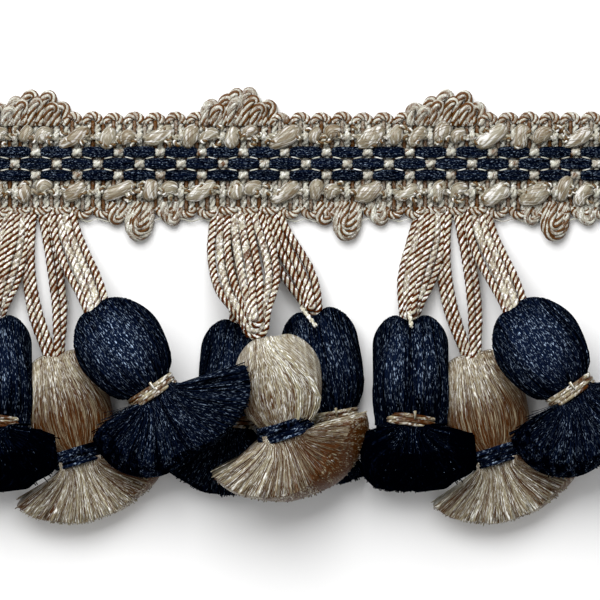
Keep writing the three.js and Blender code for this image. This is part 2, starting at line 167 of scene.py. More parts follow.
weft_finish = fibre_material(
    "weft_yarn",
    colors=(BROWN, IVORY, PAINTED_GLINT_WHITE),
    streaks=(2.4, 2.4), glints=(3.0, 0.54, 0.9), bump=0.9, shine=(0.3, 0.25),
)
ribs = round(LENGTH / RIB_PITCH)
cloth = bmesh.new()
bmesh.ops.create_grid(
    cloth,
    x_segments=ribs * GROUND.steps_per_rib,
    y_segments=GROUND.steps_across,
    size=0.5,
)
tone_layer = cloth.verts.layers.float.new("tone")
fibre_layer = cloth.verts.layers.float_vector.new("fibre")
for v in cloth.verts:
    x = v.co.x * LENGTH
    y = GROUND.middle_y + v.co.y * 2 * TAPE_HALF_WIDTH
    rib = cos(2 * pi * (x / RIB_PITCH + 0.5 * (ribs + 1)))
    # Lighter on the rib crests and darker in the hollows: the weave's brown, and painted shade in the
    # hollows
    v[tone_layer] = GROUND_TONE.middle + GROUND_TONE.ribs * rib
    v[fibre_layer] = (x, 0.0, GROUND_TONE.pull * y)
    v.co = (x * MM, y * MM, (GROUND.thick + GROUND.rib * rib) * MM)
bmesh.ops.recalc_face_normals(cloth, faces=cloth.faces)
if sum(f.normal.z for f in cloth.faces) < 0:
    bmesh.ops.reverse_faces(cloth, faces=cloth.faces)
bmesh.ops.solidify(cloth, geom=cloth.faces, thickness=(GROUND.thick - GROUND.rib) * MM)
for v in cloth.verts:
    v.co.z = max(v.co.z, 0.0)
ground_mesh = bpy.data.meshes.new("heading_ground")
cloth.to_mesh(ground_mesh)
cloth.free()
ground_mesh.materials.append(weft_finish)
heading_ground = placed("heading_ground", ground_mesh)
settle(heading_ground, "weft_yarn")

# Weft. A two-ply ivory yarn goes up and down across the tape, a rib at each pass, with a flecked brown yarn
# in the groove between each two ribs, whose brown is partly the yarn's own and partly painted shade in the
# grooves. Every fourth rib passes over the slub yarns and holds them.
FIRST_RIB_X = -LENGTH / 2 + RIB_PITCH / 2
RIBS_TO_A_FLOAT = 4
NAVY_ROWS_Y = (2.5, 0.0, -2.5)
SLUB_ROWS_Y = (5.8, -6.1)
WEFT = Sizes(ply=0.44, offset=0.38, lead=3.4, z=1.1, top=9.1, bottom=9.9, steps=34, sides=5)
WEFT_TONES = (0.9, 0.66)
WEFT_WANDER = 0.05
UNDER_NAVY = Sizes(drop=-0.15, spread=0.8)
OVER_SLUB = Sizes(rise=2.4, spread=1.0)
GROOVE = Sizes(radius=0.46, z=1.2, past_edge=0.3, drop=0.45, spread=1.2, steps=20, sides=5)
GROOVE_TONES = (-0.12, 0.34)
# How yarn and floss lie: spin in radians a millimetre, and pull, the smaller the longer the streaks
TWIST = {"spin": 2.0, "pull": 0.9}
STRAIGHT_PULL = 0.12
# Strands and skins take their streaks from places up to this far from the middle of the pattern
STREAKS_FROM = 40
UNEVEN_REACH = 1.6
UP = np.array([0.0, 0.0, 1.0])
rng = np.random.default_rng(7)


def points_of(x, y, z):
    """Points from three coordinates, each spread over the others where it has fewer values"""
    return np.stack(np.broadcast_arrays(x, y, z), axis=-1)


def unit(vectors):
    return vectors / np.linalg.norm(vectors, axis=-1, keepdims=True)


def directions(paths, up=UP):
    """At each point of each path: to its left, and out of the face"""
    along = unit(np.gradient(paths, axis=-2))
    left = unit(np.cross(up, along))
    return left, np.cross(along, left)


def run_of(paths):
    """The length of each path up to each of its points"""
    steps = np.linalg.norm(np.diff(paths, axis=1), axis=2)
    return np.pad(np.cumsum(steps, axis=1), ((0, 0), (1, 0)))


def plied(paths, offset, plies, lead):
    """The middle lines of the yarns that are twisted round each path"""
    left, out = directions(paths)
    turns = [(2 * pi * (run_of(paths) / lead + ply / plies))[..., None] for ply in range(plies)]
    return [paths + offset * (cos(turn) * left + sin(turn) * out) for turn in turns]


def strands(paths, radius, sides, tone, up=UP, spin=0.0, pull=STRAIGHT_PULL):
    """Round strands along paths: points, faces, and each point's tone and its place among the fibres"""
    count, steps, _ = paths.shape
    left, out = directions(paths, up)
    turn = np.arange(sides)[:, None] * 2 * pi / sides
    ring = cos(turn) * left[:, :, None] + sin(turn) * out[:, :, None]
    thick = np.broadcast_to(radius, (count, steps))[..., None]
    points = paths[:, :, None] + thick[..., None] * ring
    ids = np.arange(count * steps * sides).reshape(count, steps, sides)
    following = np.roll(ids, -1, axis=2)
    walls = np.stack([ids[:, :-1], following[:, :-1], following[:, 1:], ids[:, 1:]], axis=-1)
    ends = np.concatenate([ids[:, 0, ::-1], ids[:, -1]])
    tones = np.repeat(np.broadcast_to(tone, (count, steps)).reshape(-1), sides)
    gone = run_of(paths)[..., None]
    wound = turn[:, 0] + spin * gone
    apart = rng.uniform(-STREAKS_FROM, STREAKS_FROM, (2, count, 1, 1))
    fibres = points_of(apart[0] + thick * cos(wound), apart[1] + thick * sin(wound), pull * gone)
    return points.reshape(-1, 3), [walls.reshape(-1, 4), ends], tones, fibres.reshape(-1, 3)


def plied_yarn(paths, yarn, tones):
    """A yarn along each path, its plies in these tones"""
    lines = plied(paths, yarn.offset, len(tones), yarn.lead)
    return [strands(line, yarn.ply, yarn.sides, tone, **TWIST) for line, tone in zip(lines, tones)]


def uneven(paths, amount, reach=UNEVEN_REACH):
    """A random change along each of many yarns, from one place to the next at reach millimetres"""
    count, steps, _ = paths.shape
    gone = linspace(0, run_of(paths)[:, -1].mean() / reach, steps)
    before = gone.astype(int)
    changes = rng.normal(0, amount, (count, before[-1] + 2))
    return changes[:, before] + (gone - before) * (changes[:, before + 1] - changes[:, before])


def joined(name, parts, material):
    """One object from many strands and skins"""
    faces, sizes, first = [], [], 0
    for points, polygons, _, _ in parts:
        for polygon in polygons:
            faces.append((polygon + first).ravel())
            sizes.append(np.full(len(polygon), polygon.shape[1]))
        first += len(points)
    corners, sizes = np.concatenate(faces), np.concatenate(sizes)
    mesh = bpy.data.meshes.new(name)
    mesh.vertices.add(first)
    mesh.loops.add(len(corners))
    mesh.polygons.add(len(sizes))
    points, tones, fibres = (np.concatenate([p[k] for p in parts]).astype(np.float32) for k in (0, 2, 3))
    mesh.vertices.foreach_set("co", points.ravel() * MM)
    mesh.loops.foreach_set("vertex_index", corners.astype(np.int32))
    mesh.polygons.foreach_set("loop_start", (np.cumsum(sizes) - sizes).astype(np.int32))
    mesh.polygons.foreach_set("use_smooth", np.ones(len(sizes), bool))
    mesh.update(calc_edges=True)
    mesh.validate()
    mesh.attributes.new("tone", "FLOAT", "POINT").data.foreach_set("value", tones)
    mesh.attributes.new("fibre", "FLOAT_VECTOR", "POINT").data.foreach_set("vector", fibres.ravel())
    mesh.materials.append(material)
    return placed(name, mesh)


def hump(distance, spread):
    return np.exp(-((distance / spread) ** 2))


def over_rows(y, rows_y, spread):
    """How far each place across the tape is over one of the rows, from 0 to 1"""
    return sum(hump(y - row_y, spread) for row_y in rows_y)


rib_x = FIRST_RIB_X + np.arange(ribs) * RIB_PITCH
rib_y = linspace(-WEFT.bottom, WEFT.top, WEFT.steps)
holds_slub = (np.arange(ribs) % RIBS_TO_A_FLOAT == RIBS_TO_A_FLOAT - 1)[:, None]
rib_z = WEFT.z + UNDER_NAVY.drop * over_rows(rib_y, NAVY_ROWS_Y, UNDER_NAVY.spread)
rib_z = rib_z + holds_slub * OVER_SLUB.rise * over_rows(rib_y, SLUB_ROWS_Y, OVER_SLUB.spread)
rib_paths = points_of(rib_x[:, None], rib_y, rib_z)
rib_paths = rib_paths + rng.normal(0, WEFT_WANDER, rib_paths.shape)
heading_parts = plied_yarn(rib_paths, WEFT, WEFT_TONES)
groove_x = rib_x[:-1] + RIB_PITCH / 2
groove_y = linspace(rib_y[0] - GROOVE.past_edge, rib_y[-1] + GROOVE.past_edge, GROOVE.steps)
sunk = np.minimum(over_rows(groove_y, NAVY_ROWS_Y, GROOVE.spread), 1)
groove_paths = points_of(groove_x[:, None], groove_y, GROOVE.z - GROOVE.drop * sunk)
# The groove yarn's brown is partly its own and partly painted shade in the groove
groove_tones = rng.uniform(*GROOVE_TONES, (ribs - 1, 1))
heading_parts.append(strands(groove_paths, GROOVE.radius, GROOVE.sides, groove_tones, **TWIST))

# Stitches. Where a navy row dips, the weft crosses over it in a small ivory knot, and a thin ivory thread
# slants between the rows from each knot to the next.
FIRST_DOT_X = -57.375
FLOAT = RIBS_TO_A_FLOAT * RIB_PITCH
DOT_CLEAR = 1.0
KNOT = Sizes(x=0.72, y=0.42, z=1.8, rise=0.75, blunt=0.7, cross=0.12, radius=0.56, steps=8, sides=6)
KNOT_VARIES = Sizes(x=0.06, y=(0.9, 1.1))
KNOT_TONE = 0.68
KNOT_UNEVEN = Sizes(amount=0.35, reach=0.6)
SLANT = Sizes(near=1.45, far=3.1, high=1.47, low=1.15, z=2.05, rise=0.25, radius=0.2, steps=5, sides=4)
SLANT_TONE = 0.95
# Threads keep this far inside the cut ends, where the least length stops one from shrinking to a point
END_CLEAR = 0.3
LEAST_LENGTH = 1e-4


def dots_x(row):
    """Where a navy row dips: the middle one half a float behind the other two"""
    places = FIRST_DOT_X + (FLOAT / 2 if row == 1 else 0) + np.arange(-ribs, ribs) * FLOAT
    return places[np.abs(places) < LENGTH / 2 - DOT_CLEAR]


bow = linspace(-1, 1, KNOT.steps)
for row, row_y in enumerate(NAVY_ROWS_Y):
    middle = dots_x(row)[:, None]
    for way in (-1, 1):
        x = middle + way * KNOT.x * bow + rng.normal(0, KNOT_VARIES.x, middle.shape)
        y = row_y + KNOT.y * bow * rng.uniform(*KNOT_VARIES.y, middle.shape)
        z = KNOT.z + KNOT.rise * cos(bow * pi / 2) ** KNOT.blunt + KNOT.cross * way
        knots = points_of(x, y, z)
        tone = KNOT_TONE + uneven(knots, KNOT_UNEVEN.amount, KNOT_UNEVEN.reach)
        heading_parts.append(strands(knots, KNOT.radius, KNOT.sides, tone, **TWIST))
slant = linspace(0, 1, SLANT.steps)
end_x = LENGTH / 2 - END_CLEAR
for sign in (-1, 1):
    for way in (-1, 1):
        x = dots_x(0)[:, None] + way * (SLANT.near + (SLANT.far - SLANT.near) * slant)
        x = clip(x, -end_x, end_x) + LEAST_LENGTH * slant
        y = sign * (SLANT.high + (SLANT.low - SLANT.high) * slant)
        z = SLANT.z + SLANT.rise * sin(pi * slant)
        heading_parts.append(strands(points_of(x, y, z), SLANT.radius, SLANT.sides, SLANT_TONE))

# Edge loops and picots. The weft turns over at both edges in small arches of three-ply cord, two ribs to an
# arch, and in longer picots in a cluster above each group of tassels and below the gaps between the groups.
GROUP_X = (-53.9, -8.9, 36.1)
ARCH = Sizes(half=1.5, z=1.4, lift=(-0.1, 0.35), past_turn=0.25, steps=15, end_clear=2.2)
ARCH_CORD = Sizes(plies=3, offset=0.46, ply=0.44, groove=0.4, lead=3.4, tone=0.65)
ARCH_REACH = Sizes(top=1.3, bottom=1.3, hanger=0.5)
ARCH_VARIES = Sizes(top=(0.9, 1.1), bottom=(0.85, 1.1))
ARCH_BROWN = -0.3
# Near the hanger cords, whose roots lie to the left of their group's middle, the lower arches are short
HANGER_MIDDLE = -2.0
HANGER_CLEAR = 8.6
TWO_TONE = Sizes(proud=1.14, thick=0.1, brown=0.25, ivory=0.2, groove_sides=4, ply_sides=5)
PICOT_TOP_X = (-57.6, -12.6, 32.4)
PICOT_BOTTOM_X = (-34.2, 10.8, 55.8)
PICOT = Sizes(edge=9.5, root=1.2, half=1.1, z=1.1, lowest=1.35, blunt=0.8, steps=20)
PICOT_OPEN = Sizes(root=0.75, end=0.35, twist=0.45)
PICOT_CORD = Sizes(plies=4, offset=0.64, ply=0.4, groove=0.36, lead=9.0, tone=0.7)
PICOT_BROWNS = (-0.3, -0.2, 0.3)
# Each loop's place along its cluster, width, reach out of the edge, lean to the right and height
PICOTS_OUTER = (
    (-5.6, 2.4, 3.4, 0.4, 2.6),
    (-2.9, 2.2, 4.6, 0.3, 2.7),
    (0.2, 2.6, 5.2, 0.6, 2.8),
    (3.6, 2.4, 4.0, 0.3, 2.6),
    (-7.3, 3.2, 3.9, -0.3, 1.5),
    (-4.4, 3.0, 5.3, 0.5, 2.0),
    (-1.7, 3.6, 6.7, 0.9, 1.7),
    (2.3, 3.4, 6.5, 0.8, 2.3),
    (5.4, 3.2, 4.1, 0.5, 1.6),
)
PICOTS_MIDDLE = (
    (-5.3, 2.4, 3.8, 0.3, 2.6),
    (-1.9, 2.4, 5.2, 0.7, 2.8),
    (-2.2, 3.0, 7.0, 1.0, 2.2),
    (1.6, 2.8, 5.6, 0.9, 2.6),
    (3.4, 2.6, 3.9, 0.4, 2.8),
    (-7.0, 3.2, 4.6, 0.3, 1.5),
    (-3.8, 3.4, 5.9, 0.8, 2.2),
    (0.6, 3.2, 7.2, 1.0, 1.8),
    (5.0, 3.6, 4.5, 0.6, 1.7),
)
PICOTS_BOTTOM = (
    (-5.2, 3.0, 4.0, -0.7, 1.4),
    (-0.5, 5.6, 7.4, -0.4, 1.9),
    (-0.2, 4.0, 6.5, -0.6, 2.4),
    (-0.1, 2.2, 5.2, -0.8, 2.8),
    (5.8, 3.0, 4.1, 0.6, 1.5),
)
EDGE_THREAD = Sizes(y=-12.2, z=1.5, radius=0.14, sway=0.3, tone=0.8, steps=220, sides=4)


def two_tone_cord(paths, cord, brown):
    """Ivory plies with a brown yarn in the groove between each two, all a little thick and thin. The brown
    is partly the cord's own and partly painted shade in the grooves
    """
    made = []
    for number, yarn in enumerate(plied(paths, cord.offset, 2 * cord.plies, cord.lead)):
        thick = 1 + uneven(paths, TWO_TONE.thick)
        if number % 2:
            line = paths + (yarn - paths) * TWO_TONE.proud
            # The brown groove yarn: partly the cord's own brown, partly painted shade between the plies
            tone = brown + uneven(paths, TWO_TONE.brown)
            made.append(strands(line, cord.groove * thick, TWO_TONE.groove_sides, tone, **TWIST))
        else:
            tone = cord.tone + uneven(paths, TWO_TONE.ivory)
            made.append(strands(yarn, cord.ply * thick, TWO_TONE.ply_sides, tone, **TWIST))
    return made


def arch_path(middle, edge, reach):
    """A low arch over the top edge, or under the bottom one where edge and reach are less than nothing"""
    turn = linspace(-ARCH.past_turn, pi + ARCH.past_turn, ARCH.steps)
    z = ARCH.z + rng.uniform(*ARCH.lift) * sin(turn)
    return points_of(middle - ARCH.half * cos(turn), edge + reach * sin(turn), z)


def picot_path(middle, sign, loop):
    """One loop: out of the edge, round its far end, and back in"""
    place, width, reach, lean, height = loop
    turn = linspace(0, pi, PICOT.steps)
    far = sin(turn)
    out = -PICOT.root + (reach + PICOT.root - PICOT.half) * far ** PICOT.blunt
    spread = cos(turn) * (PICOT_OPEN.root + PICOT_OPEN.end * far)
    x = middle + place - width / 2 * spread + lean * far
    z = PICOT.z + (height - PICOT.z) * far + PICOT_OPEN.twist * cos(turn)
    return points_of(x, sign * (PICOT.edge + out), np.maximum(z, PICOT.lowest))


arches = []
for pair in range(ribs // 2):
    top_x = FIRST_RIB_X + (2 * pair + 0.5) * RIB_PITCH
    reach = ARCH_REACH.top * rng.uniform(*ARCH_VARIES.top)
    arches.append(arch_path(top_x, WEFT.top, reach))
    bottom_x = min(top_x + RIB_PITCH, LENGTH / 2 - ARCH.end_clear)
    by_hanger = min(abs(bottom_x - x - HANGER_MIDDLE) for x in GROUP_X) < HANGER_CLEAR
    reach = (ARCH_REACH.hanger if by_hanger else ARCH_REACH.bottom) * rng.uniform(*ARCH_VARIES.bottom)
    arches.append(arch_path(bottom_x, -WEFT.bottom, -reach))
heading_parts += two_tone_cord(np.stack(arches), ARCH_CORD, ARCH_BROWN)
picots = [picot_path(x, -1, loop) for x in PICOT_BOTTOM_X for loop in PICOTS_BOTTOM]
for x, loops in zip(PICOT_TOP_X, (PICOTS_OUTER, PICOTS_MIDDLE, PICOTS_OUTER)):
    picots += [picot_path(x, 1, loop) for loop in loops]
heading_parts += two_tone_cord(np.stack(picots), PICOT_CORD, rng.choice(PICOT_BROWNS, (len(picots), 1)))
thread_x = linspace(-end_x, end_x, EDGE_THREAD.steps)
thread_y = EDGE_THREAD.y + EDGE_THREAD.sway * sin(thread_x * 2 * pi / (2 * RIB_PITCH))
thread = points_of(thread_x, thread_y, EDGE_THREAD.z)[None]
heading_parts.append(strands(thread, EDGE_THREAD.radius, EDGE_THREAD.sides, EDGE_THREAD.tone))
heading = joined("heading_yarns", heading_parts, weft_finish)
settle(heading, "weft_yarn", "heading")

# Navy floss rows. Three flat warps of soft floss float over three ribs and dip under the fourth, the middle
# row half a float behind the other two. Each is a bundle of fine fibres that swells between its dips.
NAVY_ROW = Sizes(dip_z=1.35, rise=0.95, blunt=0.8, dip_half=0.4, half=1.18, opens=(0.12, 0.7))
NAVY_ROW_STEPS = 12
NAVY_BUNDLE = {"fibres": 18, "radius": 0.09, "flat": 0.55, "tones": (0.32, 0.2), "wind": 6.0, "pull": 0.5}
BUNDLE = Sizes(core_sides=12, fibre_sides=3, turn=0.15, reach=(0.95, 1.02))
# Dark navy, light navy, and the colour of the navy's painted glints
NAVY = ((0.0, 0.002, 0.012), (0.05, 0.09, 0.175), (0.70, 0.79, 0.90))
# The navy reflects no light: its highlights are the painted glints and the painted sheen on its heads
NAVY_SHINE = (0.45, 0.0)
navy_finish = fibre_material(
    "navy_floss", NAVY, streaks=(2.4, 2.8), glints=(4.2, 0.59, 1.05), bump=1.0, shine=NAVY_SHINE,
)


def ease(low, high, value):
    share = clip((value - low) / (high - low), 0, 1)
    return share * share * (3 - 2 * share)


def bundle(spine, half, fibres, radius, flat, tones, wind, pull):
    """A soft bundle of fibres: a core that swells with it and fine fibres laid over the core"""
    steps, sides = len(spine), BUNDLE.core_sides
    left, out = directions(spine[None])
    turn = linspace(0, 2 * pi, fibres, endpoint=False)[:, None]
    turn = turn + rng.normal(0, BUNDLE.turn, (fibres, 1)) + wind * linspace(0, 1, steps)
    reach = (half * rng.uniform(*BUNDLE.reach, (fibres, 1)))[..., None]
    paths = spine + reach * (cos(turn)[..., None] * left + flat * sin(turn)[..., None] * out)
    tone = clip(rng.normal(*tones, (fibres, 1)), 0, 1)
    spin = wind / max(run_of(spine[None])[0, -1], 1)
    core = strands(spine[None], half[None], sides, tones[0], spin=spin, pull=pull)
    level = np.repeat(spine, sides, axis=0)
    offset = core[0] - level
    outward = np.repeat(out[0], sides, axis=0)
    core[0][:] = level + offset - (1 - flat) * np.sum(offset * outward, axis=1, keepdims=True) * outward
    return [strands(paths, radius, BUNDLE.fibre_sides, tone, pull=pull), core]


row_x = linspace(-LENGTH / 2, LENGTH / 2, round(LENGTH / FLOAT * NAVY_ROW_STEPS))
for row, row_y in enumerate(NAVY_ROWS_Y):
    swell = np.abs(sin(pi * (row_x - dots_x(row)[0]) / FLOAT))
    opened = ease(*NAVY_ROW.opens, swell)
    half = NAVY_ROW.dip_half + (NAVY_ROW.half - NAVY_ROW.dip_half) * opened
    spine = points_of(row_x, row_y, NAVY_ROW.dip_z + NAVY_ROW.rise * swell ** NAVY_ROW.blunt)
    node = f"navy_row_{row + 1}"
    settle(joined(f"{node}_floss", bundle(spine, half, **NAVY_BUNDLE), navy_finish), "navy_floss", node)

# Slub yarn rows. A silky greige yarn, spun thick and thin, is laid along the tape and held down by every
# fourth rib, so that its thick places stand up in nubs: a large slanted one, or a narrow and a curved one.
SLUB_YARN = Sizes(ply=0.42, offset=0.36, lead=3.2, z=2.4, steps_per_mm=2.0, sides=5)
SLUB_SWAY = Sizes(amount=0.15, waves=1.7)
SLUB_TONES = (0.75, 0.45)
NUB = Sizes(z=2.9, sunk_ends=0.55, lowest=1.6, wander=0.4, size=(0.8, 1.12), end=0.42)
NUB_LUMPS = Sizes(amount=0.1, waves=(5, 11), start=(0, 6))
NUB_STEPS = 11
NUB_BUNDLE = {"fibres": 12, "radius": 0.07, "flat": 0.66, "pull": 0.15}
NUB_TONES = Sizes(middle=(0.4, 0.62), varies=0.2)
NUB_WIND = (0.8, 2.0)
# Each nub is a bundle from one end to the other, measured from the middle of its float
NUBS = {
    "L": (Sizes(start=(-3.2, -1.5), end=(2.7, 1.8), bend=-0.3, half=1.85, fullest=0.55),),
    "P": (
        Sizes(start=(-3.0, -1.8), end=(-1.2, 2.1), bend=0.3, half=1.65, fullest=0.5),
        Sizes(start=(0.4, -1.3), end=(3.5, 0.8), bend=0.9, half=1.45, fullest=0.52),
    ),
}
# The order of the nubs over two repeats of the trim, L for a large one and P for a pair
SLUB_ORDER = {"slub_row_top": "PLPLPPLPLP", "slub_row_bottom": "PLLPLPLPLL"}
NUB_CLEAR = 3.0
CURLS = Sizes(each=5, z=2.9, rise=0.5, flat=0.8, steps=9)
CURLS_SPREAD = Sizes(x=4.2, y=1.7, turn=(1.6, 3.2), size=(0.6, 1.2))
CURL_YARN = Sizes(offset=0.26, ply=0.27, lead=1.7, sides=4)
CURL_TONES = (0.8, 0.0)
slub_finish = fibre_material(
    "slub_yarn",
    colors=((0.36, 0.25, 0.08), (0.64, 0.63, 0.56), PAINTED_GLINT_WHITE),
    streaks=(1.6, 2.0), glints=(1.6, 0.52, 1.0), bump=0.7, shine=(0.32, 0.45),
)


def no_lower(points, lowest):
    points[..., 2] = np.maximum(points[..., 2], lowest)
    return points


def nub_parts(middle, nub):
    """A thick place in the yarn, blunt at both ends"""
    share = linspace(0, 1, NUB_STEPS)
    wander = rng.normal(0, NUB.wander, (2, 2))
    start, end = np.array([nub.start, nub.end]) + middle + wander
    aside = unit(np.array([start[1] - end[1], end[0] - start[0]]))
    level = start + (end - start) * share[:, None]
    level = level + aside * (nub.bend * sin(pi * share))[:, None]
    warp = share ** (np.log(0.5) / np.log(nub.fullest))
    waves = share * rng.uniform(*NUB_LUMPS.waves) + rng.uniform(*NUB_LUMPS.start)
    lumps = 1 + NUB_LUMPS.amount * sin(waves)
    blunt = NUB.end + (1 - NUB.end) * sin(pi * warp) ** 0.5
    half = nub.half * rng.uniform(*NUB.size) * lumps * blunt
    spine = np.column_stack([level, NUB.z - NUB.sunk_ends + NUB.sunk_ends * sin(pi * share)])
    tones = (rng.uniform(*NUB_TONES.middle), NUB_TONES.varies)
    parts = bundle(spine, half, tones=tones, wind=rng.uniform(*NUB_WIND), **NUB_BUNDLE)
    for points, _, _, _ in parts:
        no_lower(points, NUB.lowest)
    return parts


def curls(middle):
    """Short curls of the yarn that is spun round the slub, about one of its places"""
    each = (CURLS.each, 1)
    spread_x, spread_y = CURLS_SPREAD.x, CURLS_SPREAD.y
    start = rng.uniform(0, 2 * pi, each)
    turn = start + linspace(0, 1, CURLS.steps) * rng.uniform(*CURLS_SPREAD.turn, each)
    size = rng.uniform(*CURLS_SPREAD.size, each)
    x = middle[0] + rng.uniform(-spread_x, spread_x, each) + size * cos(turn)
    y = middle[1] + rng.uniform(-spread_y, spread_y, each) + CURLS.flat * size * sin(turn)
    z = CURLS.z + CURLS.rise * sin((turn - start) * pi / 3)
    return plied_yarn(points_of(x, y, z), CURL_YARN, CURL_TONES)


slub_x = linspace(-LENGTH / 2, LENGTH / 2, round(LENGTH * SLUB_YARN.steps_per_mm))
first = int(np.ceil((-LENGTH / 2 + NUB_CLEAR - FIRST_DOT_X) / FLOAT))
last = int(np.floor((LENGTH / 2 - NUB_CLEAR - FIRST_DOT_X) / FLOAT))
for (node, order), row_y in zip(SLUB_ORDER.items(), SLUB_ROWS_Y):
    slub_y = row_y + SLUB_SWAY.amount * sin(slub_x * SLUB_SWAY.waves)
    parts = plied_yarn(points_of(slub_x, slub_y, SLUB_YARN.z)[None], SLUB_YARN, SLUB_TONES)
    for place in range(first, last + 1):
        middle = (FIRST_DOT_X + place * FLOAT, row_y)
        for nub in NUBS[order[place % len(order)]]:
            parts += nub_parts(middle, nub)
        parts += curls(middle)
    settle(joined(f"{node}_nubs", parts, slub_finish), "slub_yarn", node)

# Tassel places. Each tassel lies by the fold of its floss, the tie round its neck, the size of its head and
# the fan of its skirt. The outer two groups lie alike, and in the middle one the greige tassel is on top.


def tassel_of(neck=Sizes(half=4.6, tie=5.3), tilt=0.0, stray=0.0, threads=(), **sizes):
    """One tassel's sizes, with the usual ones for what isn't said of it"""
    return Sizes(neck=neck, tilt=tilt, stray=stray, threads=threads, **sizes)


# Reach, bevel, pale and ends go from the viewer's left to right, a fan's angles from the lowest layer up.
# Pale is how light each side of a greige head is painted, its painted sheen and shade, and ends are a
# skirt's tones: the floss's own with painted light and shade on it, which also set how many painted glints
# it has. Gather is the place that the cords draw the floss to and the share of its own place that it keeps,
# and sheen is the highlight painted on a navy head: how far off the middle it lies, how much and how wide.
OUTER_TASSELS = {
    "left": tassel_of(
        floss="navy", fold=(-12.4, -33.2, 5.0), tie=(-12.2, -55.4, 6.0),
        head=Sizes(width=16.4, depth=10.8, notch=1.6, full=0.72, shoulder=0.34),
        gather=(0.0, 0.7), sheen=(0.42, 0.8, 0.34),
        skirt=Sizes(length=14.6, reach=(13.0, 16.6), square=3.4, bevel=(0.0, -0.02, -0.1)),
        fan=Sizes(rise=(-22, 8, 34, 58), left=(34, 34, 80, 84), right=(6, 8, 78, 82)),
        neck=Sizes(half=7.7, tie=6.0), ends=(0.0, -0.15, -0.1), tilt=-0.8,
    ),
    "middle": tassel_of(
        floss="greige", fold=(1.6, -41.6, 3.6), tie=(6.0, -63.0, 4.0),
        head=Sizes(width=18.2, depth=8.4, notch=0.6, full=0.6, shoulder=0.3),
        gather=(0.2, 0.5), pale=(0.55, 0.2), golden=0.85,
        skirt=Sizes(length=13.4, reach=(17.6, 19.4), square=2.0, bevel=(-0.08, -0.06, 0.1)),
        fan=Sizes(rise=(-13, 8), left=(68, 64), right=(78, 74)),
        ends=(0.32, 0.5, 0.02), tilt=0.6,
    ),
    "right": tassel_of(
        floss="navy", fold=(9.6, -31.4, 12.6), tie=(21.9, -49.0, 12.2),
        head=Sizes(width=19.8, depth=11.0, notch=0.6, full=0.3, shoulder=0.56),
        gather=(0.2, 0.8), sheen=(0.1, 1.25, 0.52),
        skirt=Sizes(length=16.2, reach=(17.2, 18.2), square=3.0, bevel=(0.2, 0.05, -0.26)),
        fan=Sizes(rise=(-6, 22), left=(84, 96), right=(75, 73)),
        ends=(0.1, 0.2, 0.25), stray=0.06,
    ),
}
MIDDLE_TASSELS = {
    "left": tassel_of(
        floss="navy", fold=(-4.6, -34.4, 4.1), tie=(-6.6, -55.4, 4.0),
        head=Sizes(width=15.0, depth=9.0, notch=1.0, full=0.45, shoulder=0.36),
        gather=(0.0, 0.8), sheen=(0.2, 0.6, 0.34),
        skirt=Sizes(length=15.6, reach=(18.4, 13.0), square=2.0, bevel=(0.1, 0.0, 0.0)),
        fan=Sizes(rise=(-13, 8), left=(64, 60), right=(60, 56)),
        ends=(0.1, 0.05, 0.05),
    ),
    "middle": tassel_of(
        floss="greige", fold=(3.0, -37.6, 14.0), tie=(5.6, -57.1, 12.6),
        head=Sizes(width=18.6, depth=11.0, notch=0.7, full=0.4, shoulder=0.46),
        gather=(0.3, 0.22), pale=(0.52, 0.68), golden=0.3, threads=(-0.42, -0.46, -0.98, -1.1, -1.24),
        skirt=Sizes(length=14.9, reach=(18.8, 18.2), square=2.0, bevel=(-0.1, -0.04, 0.1, 0.36, 0.12)),
        fan=Sizes(rise=(-8, 20), left=(70, 66), right=(96, 95)),
        neck=Sizes(half=5.2, tie=5.9), ends=(0.38, 0.3, 0.12, -0.2, 0.2), tilt=1.2,
    ),
    "right": tassel_of(
        floss="navy", fold=(11.7, -32.0, 4.3), tie=(16.0, -54.6, 4.0),
        head=Sizes(width=16.8, depth=9.4, notch=1.6, full=0.5, shoulder=0.36),
        gather=(0.0, 0.8), sheen=(0.4, 0.6, 0.34),
        skirt=Sizes(length=13.9, reach=(14.4, 14.4), square=2.0, bevel=(0.0, 0.0, 0.1)),
        fan=Sizes(rise=(-13, 8), left=(36, 34), right=(20, 20)),
        ends=(0.05, 0.05, 0.05),
    ),
}
TASSELS = (OUTER_TASSELS, MIDDLE_TASSELS, OUTER_TASSELS)
HANGING = [
    (f"{number}_{side}", x, tassel)
    for number, (x, tassels) in enumerate(zip(GROUP_X, TASSELS), start=1)
    for side, tassel in tassels.items()
]


def axes_of(tassel):
    """The tassel's fold, and its directions: along its axis, to its left, and out of its face"""
    fold = np.array(tassel.fold)
    along = unit(np.array(tassel.tie) - fold)
    left = unit(np.cross(along, UP))
    return fold, along, left, np.cross(left, along)


def head_length(tassel):
    return np.linalg.norm(np.array(tassel.tie) - np.array(tassel.fold))


# Hanger cords. Loops of three-ply cord, ivory with a brown line in each groove, run from the heading's
# lower edge to the fold of each tassel. They are the weft running on, and spread out between their ends.
CORD = Sizes(plies=3, offset=0.46, ply=0.44, groove=0.42, lead=4.6, tone=0.8)
CORD_BROWN = Sizes(pale=0.2, plain=-0.5)
CORD_SWAY = Sizes(aside=0.22, aside_waves=9, up=0.3, up_waves=14)
LOOPS = Sizes(layer=0.9, rise_by=0.35, nesting=1.2, run=9.0, narrow_from=0.62)
LOOP_STEPS = Sizes(spine=200, leg=58, bow=9)
HANGER_ROOT = Sizes(y=-9.5, z=1.1)
FOLD_TOP = -0.06
NOTCH_LENGTH = 0.2
